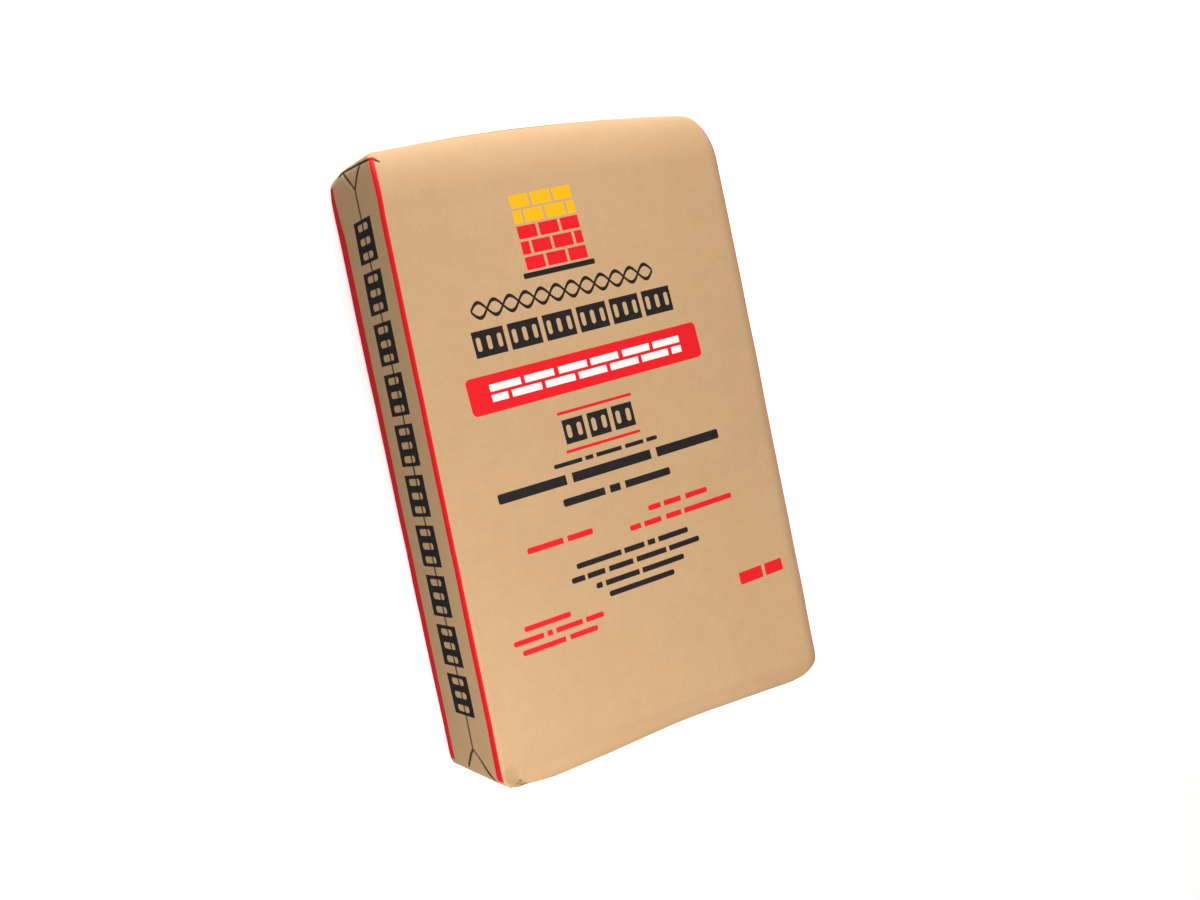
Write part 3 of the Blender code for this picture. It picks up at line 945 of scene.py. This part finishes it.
def printed_kraft(shape, look):
    """Printed kraft: unbleached paper off the machine, matt brown, with flexo ink laid on it."""
    material, tree, shader = new_material("kraft_paper_flexo_printed")
    web = add_node(tree, "ShaderNodeUVMap", uv_map="web").outputs[0]
    split = add_node(tree, "ShaderNodeSeparateXYZ", {0: web})
    girth, height = split.outputs[0], split.outputs[1]
    fibres, cloud, wide = paper_fibres(tree)
    base = kraft_colour(tree, look.paper, fibres, cloud, wide)
    # Painted shade and painted highlight at the tucked corner scale the paper colour.
    base = add_node(tree, "ShaderNodeVectorMath", {0: base, "Scale": tuck_painted_shade_and_highlight(tree, shape, web)},
                    operation="SCALE").outputs[0]
    bar_group, brick_group = ink_row_group(), brick_row_group()

    turned = add_node(tree, "ShaderNodeVectorRotate", {"Vector": web, "Angle": -look.turn}, rotation_type="Z_AXIS")
    inks = ink_masks(tree, turned.outputs[0], FRONT_BARS, bar_group, FRONT_BRICKS, brick_group)
    across = math_node(tree, "SUBTRACT", math_node(tree, "ABSOLUTE", girth), HALF_WIDTH + THICKNESS / 2)
    side_place = add_node(tree, "ShaderNodeCombineXYZ", {0: height, 1: across}).outputs[0]
    side_turned = add_node(tree, "ShaderNodeVectorRotate", {"Vector": side_place, "Angle": math.radians(0.53)},
                           rotation_type="Z_AXIS")
    side_inks = ink_masks(tree, side_turned.outputs[0], (), bar_group, SIDE_BRICKS, brick_group)

    red = most(tree, [inks["red"], *stripe_masks(tree, height)])
    black = most(tree, [inks["black"], side_inks["black"], plait_mask(tree, turned.outputs[0])])
    cover = ranged(tree, fibres, 0.30, 0.50, 0.97, 1.0)
    tone = mixed(tree, math_node(tree, "MULTIPLY", red, cover), base, tuple(look.red))
    tone = mixed(tree, math_node(tree, "MULTIPLY", inks["yellow"], cover), tone, tuple(look.yellow))
    tone = mixed(tree, math_node(tree, "MULTIPLY", black, cover), tone, tuple(look.black))
    tone = mixed(tree, math_node(tree, "MULTIPLY", inks["white"], cover), tone, tuple(look.white))

    # Painted shade: the colour goes to near black along the crease lines, the lapped end's edge and the pinhole.
    painted_fold_shade = math_node(tree, "SUBTRACT", most(tree, fold_shade_masks(tree, web, side_place, shape)), red)
    painted_fold_shade = math_node(tree, "MAXIMUM", painted_fold_shade, 0.0)
    tone = mixed(tree, painted_fold_shade, tone, colour("231F1A"))
    tree.links.new(tone, shader.inputs["Base Color"])
    inked = most(tree, [red, black, inks["yellow"], inks["white"]])
    rough = math_node(tree, "MULTIPLY_ADD", inked, -0.12, ranged(tree, cloud, 0.3, 0.7, 0.64, 0.72))
    tree.links.new(rough, shader.inputs["Roughness"])
    shader.inputs["Specular IOR Level"].default_value = 0.15
    paper_bump(tree, shader, fibres, cloud)
    return material


def plain_kraft(name, paper):
    """Plain kraft sheet: unbleached paper with no print, matt."""
    material, tree, shader = new_material(name)
    fibres, cloud, wide = paper_fibres(tree)
    tree.links.new(kraft_colour(tree, paper, fibres, cloud, wide), shader.inputs["Base Color"])
    tree.links.new(ranged(tree, cloud, 0.3, 0.7, 0.64, 0.74), shader.inputs["Roughness"])
    shader.inputs["Specular IOR Level"].default_value = 0.3
    paper_bump(tree, shader, fibres, cloud)
    return material


def cement_powder():
    """Ground cement: grey powder settled in the sack, dead matt with small lumps."""
    material, tree, shader = new_material("cement_ground_powder")
    place = add_node(tree, "ShaderNodeTexCoord").outputs["Object"]
    grain = add_node(tree, "ShaderNodeTexNoise", {"Vector": place, "Scale": 900.0, "Detail": 5.0}).outputs["Fac"]
    lumps = add_node(tree, "ShaderNodeTexNoise", {"Vector": place, "Scale": 60.0, "Detail": 4.0}).outputs["Fac"]
    tone = mixed(tree, ranged(tree, grain, 0.35, 0.65, 0, 1), colour("8B8A86"), colour("A9A7A1"))
    tone = mixed(tree, ranged(tree, lumps, 0.3, 0.7, 0, 0.5), tone, colour("B6B3AB"))
    tree.links.new(tone, shader.inputs["Base Color"])
    shader.inputs["Roughness"].default_value = 0.95
    shader.inputs["Specular IOR Level"].default_value = 0.15
    bump = add_node(tree, "ShaderNodeBump", {"Height": lumps, "Strength": 0.6, "Distance": 0.002})
    tree.links.new(bump.outputs[0], shader.inputs["Normal"])
    return material


def link_piece(name, mesh, material):
    """Put a finished mesh in the scene as a piece."""
    piece = bpy.data.objects.new(name, mesh)
    bpy.context.scene.collection.objects.link(piece)
    mesh.materials.clear()
    mesh.materials.append(material)
    return piece


def pasted_sheet(shape, look, name, side):
    """A cover sheet on one end: a grid laid on the end's surface and given its thickness."""
    end = shape.top if side > 0 else shape.bottom
    low, high = PATCH_BOXES["top" if side > 0 else "bottom"]
    margin = 0.012
    across = np.linspace(low.x + margin, high.x - margin, 97)
    up = np.linspace(low.z + margin, high.z - margin, 29)
    grid_x, grid_z = (values.ravel() for values in np.meshgrid(across, up))
    side_drop = np.where(grid_x < 0, end.left, end.right)
    face_drop = np.where(grid_z > HALF_THICKNESS, end.front, end.back)
    block = np.stack([
        grid_x / (1 - side_drop / HALF_WIDTH),
        np.full(grid_x.size, side * HALF_LENGTH),
        HALF_THICKNESS + (grid_z - HALF_THICKNESS) / (1 - face_drop / HALF_THICKNESS),
    ], 1)
    block[:, 0] = np.clip(block[:, 0], -HALF_WIDTH * 0.97, HALF_WIDTH * 0.97)
    block[:, 2] = np.clip(block[:, 2], THICKNESS * 0.03, THICKNESS * 0.97)
    points, _ = filled_points(shape, block)
    ripple = 0.00012 * slow_waves(points, 0.012, 5)
    waves = slow_waves(points, 0.085, 1) + 0.45 * slow_waves(points, 0.034, 2)
    points[:, 1] += side * (0.0003 + ripple + shape.unrest * waves)
    ids = np.arange(grid_x.size).reshape(len(up), len(across))
    quads = np.stack([ids[:-1, :-1], ids[:-1, 1:], ids[1:, 1:], ids[1:, :-1]], -1).reshape(-1, 4)
    if side > 0:
        quads = quads[:, ::-1]
    mesh = bpy.data.meshes.new(name)
    mesh.from_pydata(points.tolist(), [], quads.tolist())
    mesh.shade_smooth()
    piece = link_piece(name, mesh, plain_kraft("kraft_sheet_" + name, look.patch))
    solid = piece.modifiers.new("paper", "SOLIDIFY")
    solid.thickness = 0.0005
    solid.offset = 1
    return piece


def set_input(modifier, title, value):
    """Set a Geometry Nodes modifier's input by the identifier of its socket."""
    for item in modifier.node_group.interface.items_tree:
        if item.item_type == "SOCKET" and item.in_out == "INPUT" and item.name == title:
            modifier[item.identifier] = value
            return
    raise RuntimeError("no input named " + title)


def sleeve_tree(material):
    """Geometry nodes for the valve sleeve: an oval tube, flattened and flared at its mouth."""
    tree = bpy.data.node_groups.new("valve_sleeve_tube", "GeometryNodeTree")
    for title in ("Width", "Depth", "Length", "Flare"):
        tree.interface.new_socket(title, in_out="INPUT", socket_type="NodeSocketFloat")
    tree.interface.new_socket("Geometry", in_out="OUTPUT", socket_type="NodeSocketGeometry")
    given = add_node(tree, "NodeGroupInput")
    result = add_node(tree, "NodeGroupOutput")
    path = add_node(tree, "GeometryNodeCurvePrimitiveLine")
    far_end = add_node(tree, "ShaderNodeCombineXYZ", {0: given.outputs["Length"]})
    tree.links.new(far_end.outputs[0], path.inputs["End"])
    path = add_node(tree, "GeometryNodeResampleCurve", {"Curve": path.outputs[0], "Count": 40})
    oval = add_node(tree, "GeometryNodeCurvePrimitiveCircle", {"Resolution": 96, "Radius": 0.5})
    wide = add_node(tree, "ShaderNodeCombineXYZ", {0: given.outputs["Depth"], 1: given.outputs["Width"], 2: 1.0})
    shaped = add_node(tree, "GeometryNodeTransform", {"Geometry": oval.outputs[0], "Scale": wide.outputs[0]})
    tube = add_node(tree, "GeometryNodeCurveToMesh", {"Curve": path.outputs[0], "Profile Curve": shaped.outputs[0]})
    place = add_node(tree, "GeometryNodeInputPosition").outputs[0]
    split = add_node(tree, "ShaderNodeSeparateXYZ", {0: place})
    share = math_node(tree, "DIVIDE", split.outputs[0], given.outputs["Length"])
    mouth = math_node(tree, "POWER", share, 6.0)
    open_by = math_node(tree, "MULTIPLY", math_node(tree, "MULTIPLY", mouth, given.outputs["Flare"]), split.outputs[1])
    ripple = math_node(tree, "MULTIPLY", math_node(tree, "SINE", math_node(tree, "MULTIPLY", split.outputs[2], 170.0)),
                       math_node(tree, "MULTIPLY", mouth, 0.0005))
    move = add_node(tree, "ShaderNodeCombineXYZ", {1: math_node(tree, "ADD", open_by, ripple)})
    flared = add_node(tree, "GeometryNodeSetPosition", {"Geometry": tube.outputs[0], "Offset": move.outputs[0]})
    solid = add_node(tree, "GeometryNodeRealizeInstances", {"Geometry": flared.outputs[0]})
    finish = add_node(tree, "GeometryNodeSetMaterial", {"Geometry": solid.outputs[0], "Material": material})
    tree.links.new(finish.outputs[0], result.inputs["Geometry"])
    return tree


def valve_sleeve(look):
    """The sleeve as a plain mesh, made by its nodes, in its place at the top corner."""
    material = plain_kraft("kraft_sleeve_unbleached", look.patch)
    holder = bpy.data.objects.new("sleeve_nodes", bpy.data.meshes.new("sleeve_nodes"))
    bpy.context.scene.collection.objects.link(holder)
    nodes = holder.modifiers.new("tube", "NODES")
    nodes.node_group = sleeve_tree(material)
    size = SLEEVE_HIGH - SLEEVE_LOW
    set_input(nodes, "Width", size.z)
    set_input(nodes, "Depth", size.y)
    set_input(nodes, "Length", size.x)
    set_input(nodes, "Flare", 0.6)
    depsgraph = bpy.context.evaluated_depsgraph_get()
    mesh = bpy.data.meshes.new_from_object(holder.evaluated_get(depsgraph))
    bpy.data.objects.remove(holder)
    middle = (SLEEVE_LOW + SLEEVE_HIGH) / 2
    for vertex in mesh.vertices:
        vertex.co += Vector((SLEEVE_LOW.x, middle.y, middle.z))
    mesh.name = "valve_tube"
    mesh.shade_smooth()
    piece = link_piece("valve_tube", mesh, material)
    solid = piece.modifiers.new("paper", "SOLIDIFY")
    solid.thickness = 0.0004
    solid.offset = -1
    return piece


def area_light(name, place, aim, size, power):
    """A soft rectangular light."""
    light = bpy.data.lights.new(name, "AREA")
    light.shape = "RECTANGLE"
    light.size, light.size_y = size
    light.energy = power
    lamp = bpy.data.objects.new(name, light)
    bpy.context.scene.collection.objects.link(lamp)
    lamp.location = place
    lamp.visible_camera = False
    lamp.rotation_euler = (Vector(aim) - Vector(place)).to_track_quat("-Z", "Y").to_euler()


# Where the camera stands, how it is turned, and its lens on a 36 mm sensor
CAMERA_PLACE = (-0.68709, 0.06403 - OUTLINE_SHIFT, 1.39249)
CAMERA_VECTOR = (-0.00325, -0.49182, -0.21236)
CAMERA_LENS = 42.471


def add_camera():
    """The camera, looking down on the sack from its left and rolled as the picture is."""
    camera = bpy.data.objects.new("camera", bpy.data.cameras.new("camera"))
    bpy.context.scene.collection.objects.link(camera)
    camera.location = CAMERA_PLACE
    turn = Vector(CAMERA_VECTOR)
    camera.rotation_mode = "AXIS_ANGLE"
    camera.rotation_axis_angle = (turn.length, *turn.normalized())
    camera.data.lens = CAMERA_LENS
    camera.data.sensor_width = 36
    camera.data.clip_end = 50
    bpy.context.scene.camera = camera


def add_stage(look):
    """A pale floor that throws no light back, an even sky and four soft lights."""
    mesh = bpy.data.meshes.new("floor")
    bm = bmesh.new()
    bmesh.ops.create_grid(bm, x_segments=1, y_segments=1, size=6)
    bm.to_mesh(mesh)
    bm.free()
    material, tree, shader = new_material("floor_matt_paint")
    shader.inputs["Base Color"].default_value = tuple(look.floor)
    shader.inputs["Roughness"].default_value = 0.9
    shader.inputs["Specular IOR Level"].default_value = 0.1
    shader.inputs["Emission Color"].default_value = (1, 1, 1, 1)
    shader.inputs["Emission Strength"].default_value = look.glow
    floor = link_piece("floor", mesh, material)
    floor.visible_diffuse = False
    floor.visible_glossy = False
    world = bpy.data.worlds.new("even_light")
    world.use_nodes = True
    world.node_tree.nodes["Background"].inputs["Color"].default_value = (1, 1, 1, 1)
    world.node_tree.nodes["Background"].inputs["Strength"].default_value = look.sky
    bpy.context.scene.world = world
    area_light("key_light", (0.0, 1.80, 0.55), (0, 0, 0.05), (2.2, 0.8), look.key)
    area_light("corner_light", (-0.70, -0.78, 0.50), (-0.2, -0.26, 0.1), (0.4, 0.4), look.corner)
    area_light("overhead_light", (-0.15, -1.0, 1.8), (-0.05, -0.3, 0.1), (1.0, 1.0), look.over)
    area_light("right_light", (1.8, 0.0, 0.2), (0, 0, 0.08), (1.6, 0.35), look.right)
    bpy.context.scene.view_settings.view_transform = "Standard"


class SACK_OT_paper(bpy.types.Operator):
    """Make the printed paper sack"""

    bl_idname = "sack.paper"
    bl_label = "Paper sack"

    def execute(self, context):
        shape = context.scene.sack_shape
        set_ends(shape)
        sack = link_piece("printed_sack", sack_mesh(shape), printed_kraft(shape, context.scene.sack_print))
        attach(sack, "root")
        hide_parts("paper_sack")
        return {"FINISHED"}


class SACK_OT_cement(bpy.types.Operator):
    """Make the settled cement inside the paper"""

    bl_idname = "sack.cement"
    bl_label = "Cement"

    def execute(self, context):
        cement = link_piece("settled_cement", cement_mesh(context.scene.sack_shape), cement_powder())
        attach(cement, "root")
        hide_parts("cement_fill")
        return {"FINISHED"}


class SACK_OT_end_sheets(bpy.types.Operator):
    """Paste the cover sheets on the two ends"""

    bl_idname = "sack.end_sheets"
    bl_label = "End sheets"

    def execute(self, context):
        scene = context.scene
        for name, node, side in (("top_sheet", "top_end_patch", 1), ("bottom_sheet", "bottom_end_patch", -1)):
            sheet = pasted_sheet(scene.sack_shape, scene.sack_print, name, side)
            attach(sheet, "root")
            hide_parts(node)
        return {"FINISHED"}


class SACK_OT_valve(bpy.types.Operator):
    """Make the valve sleeve at the top corner"""

    bl_idname = "sack.valve"
    bl_label = "Valve sleeve"

    def execute(self, context):
        sleeve = valve_sleeve(context.scene.sack_print)
        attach(sleeve, "root")
        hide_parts("valve_sleeve")
        return {"FINISHED"}


class SACK_OT_stage(bpy.types.Operator):
    """Set the floor, the lights and the camera"""

    bl_idname = "sack.stage"
    bl_label = "Stage"

    def execute(self, context):
        add_stage(context.scene.stage_look)
        add_camera()
        return {"FINISHED"}


class SACK_PT_panel(bpy.types.Panel):
    """The sack's pieces, in the order in which they are made"""

    bl_idname = "SACK_PT_panel"
    bl_label = "Cement Sack"
    bl_space_type = "VIEW_3D"
    bl_region_type = "UI"
    bl_category = "Cement Sack"

    def draw(self, context):
        column = self.layout.column()
        for operator in OPERATORS:
            column.operator(operator.bl_idname)


OPERATORS = (SACK_OT_paper, SACK_OT_cement, SACK_OT_end_sheets, SACK_OT_valve, SACK_OT_stage)
CLASSES = (SackEnd, SackShape, SackPrint, StageLook, *OPERATORS, SACK_PT_panel)


def register():
    """Register the classes and hang the property groups on the scene."""
    for item in CLASSES:
        bpy.utils.register_class(item)
    bpy.types.Scene.sack_shape = bpy.props.PointerProperty(type=SackShape)
    bpy.types.Scene.sack_print = bpy.props.PointerProperty(type=SackPrint)
    bpy.types.Scene.stage_look = bpy.props.PointerProperty(type=StageLook)


def unregister():
    """Take the property groups off the scene and unregister the classes."""
    del bpy.types.Scene.stage_look
    del bpy.types.Scene.sack_print
    del bpy.types.Scene.sack_shape
    for item in reversed(CLASSES):
        bpy.utils.unregister_class(item)


def main():
    """Make everything."""
    register()
    bpy.ops.sack.paper()
    bpy.ops.sack.cement()
    bpy.ops.sack.end_sheets()
    bpy.ops.sack.valve()
    bpy.ops.sack.stage()


if __name__ == "__main__":
    main()
